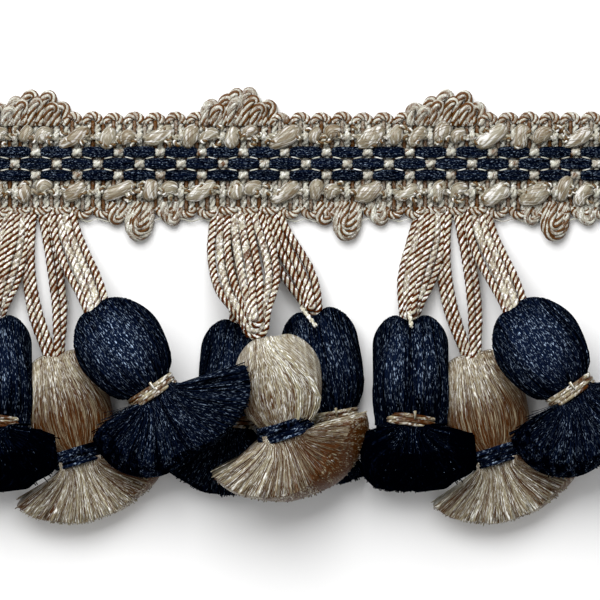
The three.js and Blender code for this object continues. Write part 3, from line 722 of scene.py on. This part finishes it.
# Roots are places along the heading, from the group's middle. Pale are the loops, counted from the outer
# one, whose brown line is faint, and belly goes from the outer loop to the inner one. The seat of a bundle
# is sunk below the fold, and lies to the left of its middle by aside.
OUTER_BUNDLES = {
    "left": Sizes(
        roots=(-10.4, -9.5, -8.6, -7.5, -6.6, -5.7), pale=(1,),
        bow=0.0, belly=(1.2, 0.2), narrow=0.6, sunk=0.6, aside=0.0,
    ),
    "middle": Sizes(
        roots=(-5.2, -3.8, -2.4, -1.0), pale=(),
        bow=0.0, belly=(1.5, 1.5), narrow=0.6, sunk=2.4, aside=0.8,
    ),
    "right": Sizes(
        roots=(0.2, 1.6, 3.0, 4.4), pale=(1,),
        bow=4.9, belly=(0.5, 0.1), narrow=0.95, sunk=2.4, aside=0.8,
    ),
}
MIDDLE_BUNDLES = {
    "left": Sizes(
        roots=(-9.4, -7.8), pale=(),
        bow=-1.0, belly=(0.1, 0.1), narrow=0.9, sunk=0.6, aside=0.0,
    ),
    "middle": Sizes(
        roots=(-9.3, -8.0, -6.7, -5.4, -4.1, -2.8, -1.5, -0.2), pale=(1, 3),
        bow=0.0, belly=(2.3, 0.3), narrow=0.5, sunk=-0.6, aside=3.4,
    ),
    "right": Sizes(
        roots=(0.4, 1.7, 3.0, 4.3), pale=(),
        bow=1.0, belly=(0.9, 0.2), narrow=0.7, sunk=-0.3, aside=0.4,
    ),
}
BUNDLES = (OUTER_BUNDLES, MIDDLE_BUNDLES, OUTER_BUNDLES)
# The end of one cord is left free in a fold of each group, from its first place to its last
OUTER_END = ((-12.8, -31.4, 6.0), (-12.5, -33.2, 9.4), (-12.2, -35.4, 10.3))
MIDDLE_END = ((9.0, -31.0, 5.4), (10.4, -32.8, 8.4), (12.2, -35.2, 9.2))
FREE_ENDS = (OUTER_END, MIDDLE_END, OUTER_END)
FREE_END = Sizes(ply=0.3, offset=0.25, lead=2.6, tones=(0.85, 0.85), steps=12, sides=5)
cord_finish = fibre_material(
    "cord_yarn",
    colors=((0.30, 0.13, 0.0), (0.77, 0.755, 0.67), PAINTED_GLINT_WHITE),
    streaks=(2.4, 1.8), glints=(2.0, 0.5, 1.2), bump=0.9, shine=(0.35, 0.06),
)


def along_path(places, known, path):
    """The points of a path at the given places, where known are the places of its own points"""
    return np.column_stack([interp(places, known, path[:, axis]) for axis in range(3)])


def bundle_spine(roots, seat, along, bow):
    """A smooth line straight down from the roots, aside by bow, and along the tassel's axis to its seat"""
    root = np.array([(roots[0] + roots[-1]) / 2, HANGER_ROOT.y, HANGER_ROOT.z])
    bends = (root, root - (0, LOOPS.run, 0), seat - along * LOOPS.run + (bow, 0, 0), seat)
    t = linspace(0, 1, LOOP_STEPS.spine)[:, None]
    weights = ((1 - t) ** 3, 3 * t * (1 - t) ** 2, 3 * t**2 * (1 - t), t**3)
    return sum(weight * bend for weight, bend in zip(weights, bends))


def cord_loops(bundle_of, tassel):
    """The nested loops of one bundle: each goes down beside its spine, round the end and back up"""
    fold, along, left, _ = axes_of(tassel)
    roots = bundle_of.roots
    drawn_in = tassel.head.notch * (1 - FOLD_TOP / NOTCH_LENGTH)
    below = FOLD_TOP * head_length(tassel) + drawn_in + bundle_of.sunk
    seat = fold + along * below + left * bundle_of.aside
    spine = bundle_spine(roots, seat, along, bundle_of.bow)
    gone = run_of(spine[None])[0]
    spine_left, _ = directions(spine)
    for inner, belly in enumerate(linspace(*bundle_of.belly, len(roots) // 2)):
        half = (roots[-1 - inner] - roots[inner]) / 2
        end_half = half * bundle_of.narrow
        end = gone[-1] - inner * LOOPS.nesting - end_half
        legs = linspace(0, end, LOOP_STEPS.leg)
        share = legs / end
        middle = along_path(legs, gone, spine)
        aside = along_path(legs, gone, spine_left)
        narrowed = (end_half - half) * ease(LOOPS.narrow_from, 1, share)
        offset = (half + narrowed + belly * sin(pi * share))[:, None] * aside
        turn = linspace(0, pi, LOOP_STEPS.bow)[1:-1, None]
        forward = unit(middle[-1] - middle[-2])
        end_bow = middle[-1] + end_half * (cos(turn) * aside[-1] + sin(turn) * forward)
        loop = np.concatenate([middle + offset, end_bow, (middle - offset)[::-1]])
        raised = ease(0, LOOPS.rise_by, np.concatenate([share, np.ones(len(end_bow)), share[::-1]]))
        yield loop + UP * (inner * LOOPS.layer * raised)[:, None]


group_parts = zip(GROUP_X, TASSELS, BUNDLES, FREE_ENDS)
for number, (group_x, tassels, bundles, end) in enumerate(group_parts, start=1):
    loops = np.stack([loop for side in bundles for loop in cord_loops(bundles[side], tassels[side])])
    phase = rng.uniform(0, 2 * pi, (2, len(loops), 1))
    share = linspace(0, 1, loops.shape[1])
    sway_aside = sin(CORD_SWAY.aside_waves * share + phase[0])
    sway_up = sin(CORD_SWAY.up_waves * share + phase[1]) ** 2
    loops[..., 0] += group_x + CORD_SWAY.aside * sin(pi * share) * sway_aside
    loops[..., 2] += CORD_SWAY.up * sin(pi * share) * sway_up
    is_pale = [inner in b.pale for b in bundles.values() for inner in range(len(b.roots) // 2)]
    brown = np.where(is_pale, CORD_BROWN.pale, CORD_BROWN.plain)[:, None]
    parts = two_tone_cord(loops, CORD, brown)
    free_end = np.array(end) + (group_x, 0, 0)
    end_path = along_path(linspace(0, 2, FREE_END.steps), range(3), free_end)[None]
    parts += plied_yarn(end_path, FREE_END, FREE_END.tones)
    node = f"hanger_{number}"
    settle(joined(f"{node}_cords", parts, cord_finish), "cord_yarn", node)

# Tassels. Each is a hank of soft floss, folded over its cords, bound at the neck and cut below it, where
# its ends flare into a skirt. Fine fibres run from the neck over the fold and back, and down to the hem.
HEAD = Sizes(fold_round=0.62, end=1.05, steps=23, sides=44, ways=37, run=22)
HEAD_FIBRES = Sizes(count=180, radius=0.07, sides=3, swell=(0.985, 1.015))
HEAD_WANDER = Sizes(amount=0.03, waves=(1, 4), start=(0, 6))
THICK_FIBRES = Sizes(share=0.04, radius=1.7)
HIGHLIGHT_THREADS = Sizes(radius=0.26, proud=1.03)
NOTCH = Sizes(half=0.3, groove=0.09, groove_half=0.22, groove_length=0.7)
NECK = Sizes(half_depth=3.2, crease=1.2, skirt_width=0.98, skirt_depth=0.95, below_tie=0.9)
# Painted sheen on the heads: the band painted lighter on navy heads, and the darkening of greige ones
PAINTED_SHEEN = Sizes(base=0.02, down=0.42, spread=0.32)
GOLDEN = Sizes(start=0.2, end=0.9, flanks=0.15)
GATHER_TO = 0.6
LOCKS = Sizes(count=64, places=181)
# Tones of locks and fibres, the streaks' size across and along them, fuzz, the painted shade on the cut hem
# and the painted highlight on the fibre ends in it
FLOSS = {
    "navy": Sizes(lock=0.1, fibre=0.32, across=1.35, along=0.27, fuzz=0.14, cut=0.15, cut_ends=0.0),
    "greige": Sizes(lock=0.17, fibre=0.28, across=1.5, along=0.2, fuzz=0.1, cut=0.12, cut_ends=0.32),
}
SKIRT = Sizes(arch=0.09, arch_full=0.7, flare=5.0, rise=5, steps=6, turns=56)
SKIRT_FIBRES = Sizes(count=620, radius=0.07, sides=3, on_top=0.55, cut_end=2.3, least=0.2)
RAGGED = Sizes(cut=0.006, top=0.05, slant=0.3, across=0.012)
HEM = Sizes(share=0.97, bulge=0.025, steps=10, wave=0.012, waves=23, edge=0.3)
HEM_STREAKS = Sizes(across=2.6, layers=0.35)
CUT_MOTTLE = 0.16
SKIN_CLEAR = 0.02
# Dark and light greige, and the colour of its painted glints
GREIGE = ((0.265, 0.135, 0.01), (0.665, 0.635, 0.53), (1.0, 1.0, 0.98))
GREIGE_SHINE = (0.32, 0.12)
greige_finish = fibre_material(
    "greige_floss", GREIGE, streaks=(2.8, 4.2), glints=(3.6, 0.52, 1.5), bump=0.9, shine=GREIGE_SHINE,
)
FLOSS_FINISH = {"navy": navy_finish, "greige": greige_finish}


def hank_points(tassel, side, way):
    """Points of the folded hank, and how far each is from the fold (0) to the tie (1). Side goes from right
    to left, way from the back of the neck over the fold (0) to its face."""
    fold, along, left, out = axes_of(tassel)
    head, length = tassel.head, head_length(tassel)
    crown = np.sqrt(clip(1 - side**2, 0, 1))
    top = FOLD_TOP + head.shoulder * (1 - crown)
    down = top + way**2 * (HEAD.end - top)
    round_in = clip((down - head.full) / (1 - head.full - NECK.crease / length), 0, 1)
    to_neck = 1 - np.sqrt(1 - round_in**2)
    half = head.width / 2 + (tassel.neck.half - head.width / 2) * to_neck
    deep = head.depth / 2 + (NECK.half_depth - head.depth / 2) * to_neck
    dome = sin(pi / 2 * np.minimum(1, np.abs(way) / HEAD.fold_round))
    notch = head.notch * hump(side, NOTCH.half) * clip(1 - down / NOTCH_LENGTH, 0, None)
    grooved = hump(side, NOTCH.groove_half) * clip(1 - down / NOTCH.groove_length, 0, 1)
    deep = np.sign(way) * deep * crown * dome * (1 - NOTCH.groove * head.notch * grooved)
    level = fold + (down * length + notch)[..., None] * along + (side * half)[..., None] * left
    return level + deep[..., None] * out, down


def skin(points, tone, fibre, flanks):
    """A closed surface over a grid of points, with its cut edge and, where asked for, its two flanks"""
    rows, columns = points.shape[:2]
    ids = np.arange(rows * columns).reshape(rows, columns)
    walls = np.stack([ids[:-1, :-1], ids[1:, :-1], ids[1:, 1:], ids[:-1, 1:]], axis=-1).reshape(-1, 4)
    polygons = [walls, np.concatenate([ids[::-1, 0], ids[:, -1]])[None]]
    if flanks:
        polygons.append(np.stack([ids[0], ids[-1, ::-1]]))
    flat = points.reshape(-1, 3)
    corners = flat[walls] - flat.mean(axis=0)
    if np.sum(corners[:, 0] * np.cross(corners[:, 1], corners[:, 2])) < 0:
        polygons = [polygon[:, ::-1] for polygon in polygons]
    fibre = fibre + rng.uniform(-STREAKS_FROM, STREAKS_FROM, 3)
    return flat, polygons, tone.reshape(-1), fibre.reshape(-1, 3)


def locks(tassel):
    """Streaks of lighter and darker floss across a hank, as a function of places from -1 to 1"""
    knots = linspace(-1, 1, LOCKS.count)
    places = linspace(-1, 1, LOCKS.places)
    tones = interp(places, knots, rng.normal(0, FLOSS[tassel.floss].lock, len(knots)))
    return lambda place: interp(place, places, tones)


def floss_tone(tassel, side, down):
    """Painted sheen: navy floss is painted lighter on the two halves of its fold, greige is painted silvery
    there, lighter on one side than the other, and darker and golden toward the tie and at its flanks
    """
    if tassel.floss == "navy":
        off_middle, amount, spread = tassel.sheen
        shines = hump(np.abs(side) - off_middle, spread) * hump(down - PAINTED_SHEEN.down, PAINTED_SHEEN.spread)
        return PAINTED_SHEEN.base + amount * shines
    pale = interp(side, (-1, 1), tassel.pale[::-1])
    golden = tassel.golden * ease(GOLDEN.start, GOLDEN.end, down)
    return pale - golden - GOLDEN.flanks * side**4


def gathered(tassel, way):
    """Where the cords draw the fibres together at the fold, and the share of its place each one keeps"""
    middle, share = tassel.gather
    return middle, share + (1 - share) * ease(0, GATHER_TO, way**2)


def head_fibres(tassel, lock):
    """Fine fibres over the head, a few of them thicker, and threads on top of them that are painted the
    lightest tone, as painted highlight lines
    """
    floss, each = FLOSS[tassel.floss], (HEAD_FIBRES.count, 1)
    threads = tassel.threads
    bright = slice(len(threads))
    angle = rng.uniform(-pi / 2, pi / 2, each)
    angle[bright, 0] = threads
    way = sin(linspace(-pi / 2, pi / 2, HEAD.steps))
    waves = way * rng.uniform(*HEAD_WANDER.waves, each) + rng.uniform(*HEAD_WANDER.start, each)
    wander = HEAD_WANDER.amount * sin(waves)
    middle, drawn = gathered(tassel, way)
    paths, down = hank_points(tassel, middle + (sin(angle + wander) - middle) * drawn, way)
    fold, along, _, _ = axes_of(tassel)
    axis = fold + ((paths - fold) @ along)[..., None] * along
    swell = rng.uniform(*HEAD_FIBRES.swell, (*each, 1))
    swell[bright] = HIGHLIGHT_THREADS.proud
    paths = axis + (paths - axis) * swell
    tone = floss_tone(tassel, sin(angle), down) + rng.normal(0, floss.fibre, each)
    tone = tone + lock(angle * 2 / pi)
    # The threads on top are painted the lightest tone, a painted highlight along each
    tone[bright] = 1.0
    is_thick = rng.uniform(0, 1, each) < THICK_FIBRES.share
    radius = np.where(is_thick, THICK_FIBRES.radius, 1.0) * HEAD_FIBRES.radius
    radius[bright] = HIGHLIGHT_THREADS.radius
    tone = clip(tone, 0, 1)
    return strands(no_lower(paths, radius), radius, HEAD_FIBRES.sides, tone, pull=floss.along)


def head_skin(tassel, lock):
    """The smooth surface of the folded hank, with its streaks combed as the fibres over it are"""
    floss = FLOSS[tassel.floss]
    angle = linspace(-pi / 2, pi / 2, HEAD.sides)[:, None]
    way = sin(linspace(-pi / 2, pi / 2, HEAD.ways))
    points, down = hank_points(tassel, sin(angle), way)
    middle, drawn = gathered(tassel, way)
    combed = middle + (angle * 2 / pi - middle) / drawn
    across = floss.across * tassel.head.width / 2 * combed
    fibre = points_of(across, 0.0, floss.along * np.sign(way) * down * HEAD.run)
    tone = floss_tone(tassel, sin(angle), down) + lock(angle * 2 / pi)
    return skin(no_lower(points, SKIN_CLEAR), clip(tone, 0, 1), fibre, False)


def round_fan(values, across):
    """Values listed from a skirt's left to its right, read at the shares across it"""
    return interp(across, linspace(0, 1, len(values)), values[::-1])


def skirt_points(tassel, across, layer, share):
    """Points of the flared floss: across from its right (0) to its left (1), layer from the lowest (0) to
    the top one (1), and share from the neck to the hem, which is cut at a slant"""
    _, along, left, out = axes_of(tassel)
    fan, skirt, neck = tassel.fan, tassel.skirt, tassel.neck
    layers = linspace(0, 1, len(fan.rise))
    above = 2 * layer - 1
    rise = np.radians(interp(layer, layers, fan.rise) + SKIRT.rise * above)
    to_left = interp(layer, layers, fan.left)
    to_right = interp(layer, layers, fan.right)
    turn = np.radians(-to_right + across * (to_left + to_right))
    power = skirt.square
    sideways = np.where(turn > 0, *skirt.reach)
    squared = np.abs(cos(turn) / skirt.length) ** power + np.abs(sin(turn) / sideways) ** power
    length = squared ** (-1 / power) * share * (1 - round_fan(skirt.bevel, across) * layer**2)
    level = cos(turn)[..., None] * along + sin(turn)[..., None] * left
    aim = cos(rise)[..., None] * level + sin(rise)[..., None] * out
    apex = np.array(tassel.tie) + along * NECK.below_tie
    arch = SKIRT.arch * skirt.length * sin(pi * clip(share, 0, 1) ** SKIRT.arch_full)
    opening = clip(1 - share, 0, 1) ** SKIRT.flare
    aside = opening * sin((across - 0.5) * pi) * neck.half * NECK.skirt_width
    raised = (opening * NECK.half_depth * NECK.skirt_depth + arch) * above
    return apex + length[..., None] * aim + aside[..., None] * left + raised[..., None] * out


def skirt_fibres(tassel):
    """Cut fibres, most of them on top and the others in the layers below, and the locks that they lie in"""
    floss, each = FLOSS[tassel.floss], (SKIRT_FIBRES.count, 1)
    across = rng.uniform(0, 1, each)
    is_top = rng.uniform(0, 1, each) < SKIRT_FIBRES.on_top
    layer = np.where(is_top, 1.0, rng.uniform(0, 1, each))
    is_below = layer < 1
    ragged = RAGGED.top + RAGGED.slant * clip(round_fan(tassel.skirt.bevel, across), 0, None)
    short_below = rng.normal(0.0, RAGGED.cut, each)
    short = np.where(is_below, short_below, np.abs(rng.normal(0, 1, each)) * ragged)
    strayed = tassel.stray * across**4 * rng.uniform(0, 1, each)
    share = linspace(0, 1, SKIRT.steps) * clip(1 - short - strayed, SKIRT_FIBRES.least, None)
    spread = across + (strayed + rng.normal(0, RAGGED.across, each)) * share
    paths = skirt_points(tassel, *np.broadcast_arrays(spread, layer, share))
    radius = np.where(is_below, SKIRT_FIBRES.cut_end, 1.0) * SKIRT_FIBRES.radius
    paths = no_lower(paths + rng.normal(0, floss.fuzz, (*each, 3)) * share[..., None] ** 2, radius)
    lock = locks(tassel)
    # Fibres that end in the cut are painted lighter: a painted highlight on their tips
    tone = round_fan(tassel.ends, across) + lock(2 * across - 1) + floss.cut_ends * is_below
    tone = clip(tone + rng.normal(0, floss.fibre, each), 0, 1)
    return strands(paths, radius, SKIRT_FIBRES.sides, tone, pull=floss.along), lock


def skirt_skin(tassel, lock):
    """The surface of the flared floss: out on top from the neck to the hem, down its cut, and back below"""
    floss, reach = FLOSS[tassel.floss], tassel.skirt.length
    down = linspace(0, HEM.share, HEM.steps)
    cut = linspace(0, pi, HEM.steps + 2)[1:-1]
    none, full = np.zeros(HEM.steps), np.ones(HEM.steps)
    share = np.concatenate([down, HEM.share + HEM.bulge * sin(cut), down[::-1]])
    layer = np.concatenate([full, 0.5 + 0.5 * cos(cut), none])
    on_cut = np.concatenate([none, sin(cut) ** HEM.edge, none])
    across = linspace(0, 1, SKIRT.turns)[:, None]
    wave = 1 + HEM.wave * sin(across * HEM.waves) * share
    points = no_lower(skirt_points(tassel, *np.broadcast_arrays(across, layer, share * wave)), SKIN_CLEAR)
    # The cut face is painted darker, painted shade among the cut ends, mottled at random
    shade = floss.cut + rng.normal(0, CUT_MOTTLE, points.shape[:2])
    tone = round_fan(tassel.ends, across) + lock(2 * across - 1) - on_cut * shade
    streaks_x, streaks_y = across * HEM_STREAKS.across * reach, layer * HEM_STREAKS.layers * reach
    return skin(points, tone, points_of(streaks_x, streaks_y, floss.along * share * reach), True)


for place, group_x, tassel in HANGING:
    lock = locks(tassel)
    parts = [head_fibres(tassel, lock), head_skin(tassel, lock)]
    fibres, lock = skirt_fibres(tassel)
    parts += [fibres, skirt_skin(tassel, lock)]
    for points, _, _, _ in parts:
        points[:, 0] += group_x
    hank = joined(f"tassel_{place}_floss", parts, FLOSS_FINISH[tassel.floss])
    settle(hank, f"{tassel.floss}_floss", f"tassel_{place}")

# Ties. A thread of the other floss is wound round each neck a few times, drawn tight and knotted on its
# face, with one short end left free.
TIE = Sizes(radius=0.4, off_neck=0.3, steps_per_turn=26, sides=6, off_floor=1.3, thick=0.1)
TIE_LIE = Sizes(waves=0.5, wander=0.15, spin=1.0, pull=0.5)
TIE_UNEVEN = Sizes(amount=0.35, reach=1.4)
# Turns, half the width of the band and tone, by the floss that is bound
TIES = {
    "navy": Sizes(turns=4.5, half_band=1.1, tone=0.3),
    "greige": Sizes(turns=6.5, half_band=1.7, tone=0.35),
}
STUB = Sizes(length=1.7, radius=0.3, root=0.7, swell=0.6, tone=0.7, steps=6, sides=5)
STUB_LIE = Sizes(right=0.8, out=0.45, curl=0.9, turn=2.2)
navy_tie_finish = fibre_material(
    "navy_tie", NAVY, streaks=(2.4, 1.2), glints=(3.0, 0.58, 0.8), bump=0.8, shine=NAVY_SHINE,
)
greige_tie_finish = fibre_material(
    "greige_tie", GREIGE, streaks=(1.6, 3.2), glints=(2.0, 0.52, 1.4), bump=0.9, shine=GREIGE_SHINE,
)
TIE_FINISH = {"navy": ("greige_tie", greige_tie_finish), "greige": ("navy_tie", navy_tie_finish)}


def tie_parts(tassel, group_x):
    """The thread wound round a neck, and its free end"""
    _, along, left, out = axes_of(tassel)
    tie = TIES[tassel.floss]
    share = linspace(0, 1, round(tie.turns * TIE.steps_per_turn))[:, None]
    turn = 2 * pi * tie.turns * share
    band = tie.half_band * (2 * share - 1) + TIE_LIE.wander * sin(turn * TIE_LIE.waves)
    band = band + tassel.tilt * cos(turn)
    middle = np.array(tassel.tie) + (group_x, 0, 0)
    off_axis = NECK.half_depth + TIE.off_neck + TIE.radius
    path = middle + band * along + cos(turn) * tassel.neck.tie * left + sin(turn) * off_axis * out
    path = no_lower(path, TIE.off_floor * TIE.radius)[None]
    tone = tie.tone + uneven(path, TIE_UNEVEN.amount, TIE_UNEVEN.reach)
    thick = TIE.radius * (1 + uneven(path, TIE.thick))
    wound = strands(path, thick, TIE.sides, tone, along, spin=TIE_LIE.spin, pull=TIE_LIE.pull)
    ends = linspace(0, 1, STUB.steps)[:, None]
    start = middle - STUB_LIE.right * left + (off_axis + STUB_LIE.out) * out
    curled = STUB_LIE.curl * sin(ends * STUB_LIE.turn)
    stub = (start - ends * STUB.length * along + curled * out)[None]
    thick = STUB.radius * (STUB.root + STUB.swell * ends[None, :, 0])
    return [wound, strands(stub, thick, STUB.sides, STUB.tone)]


for place, group_x, tassel in HANGING:
    slot, finish = TIE_FINISH[tassel.floss]
    settle(joined(f"tie_{place}_thread", tie_parts(tassel, group_x), finish), slot, f"tie_{place}")

# Setting. A pale floor that the trim lies on, a large soft light from beyond its picot edge, even light all
# round, and a camera straight above with a long lens.
FRAME_WIDTH = 130.12
VIEW_MIDDLE = (-0.12, -29.5)
CAMERA_HEIGHT = 1500.0
SENSOR = 36.0
SEES_TO = 20.0
FLOOR = Sizes(half=3.0, color=(0.955, 0.955, 0.955), roughness=0.9)
KEY_LIGHT = Sizes(place=(-0.155, 0.41, 0.6), size=0.65, power=8.1)
ROUND_LIGHT = {"Color": (1.0, 1.0, 1.0, 1.0), "Strength": 0.48}

plane = bmesh.new()
bmesh.ops.create_grid(plane, x_segments=1, y_segments=1, size=FLOOR.half)
floor_mesh = bpy.data.meshes.new("floor")
plane.to_mesh(floor_mesh)
plane.free()
floor_finish = bpy.data.materials.new("floor")
floor_finish.use_nodes = True
floor_shader = floor_finish.node_tree.nodes["Principled BSDF"]
floor_shader.inputs["Base Color"].default_value = linear(FLOOR.color)
floor_shader.inputs["Roughness"].default_value = FLOOR.roughness
floor_mesh.materials.append(floor_finish)
placed("floor", floor_mesh)

aim = placed("aim", None)
aim.location = (0.0, VIEW_MIDDLE[1] * MM, 0.0)
key_data = bpy.data.lights.new("key", "AREA")
key_data.size = KEY_LIGHT.size
key_data.energy = KEY_LIGHT.power
key = placed("key", key_data)
key.location = KEY_LIGHT.place
track = key.constraints.new("TRACK_TO")
track.target = aim
track.track_axis = "TRACK_NEGATIVE_Z"
track.up_axis = "UP_Y"

world = bpy.data.worlds.new("studio")
world.use_nodes = True
for socket, value in ROUND_LIGHT.items():
    world.node_tree.nodes["Background"].inputs[socket].default_value = value
bpy.context.scene.world = world
bpy.context.scene.view_settings.view_transform = "Standard"

camera_data = bpy.data.cameras.new("camera")
camera_data.sensor_width = SENSOR
camera_data.lens = SENSOR * CAMERA_HEIGHT / FRAME_WIDTH
camera_data.clip_end = SEES_TO
camera = placed("camera", camera_data)
camera.location = (VIEW_MIDDLE[0] * MM, VIEW_MIDDLE[1] * MM, CAMERA_HEIGHT * MM)
bpy.context.scene.camera = camera
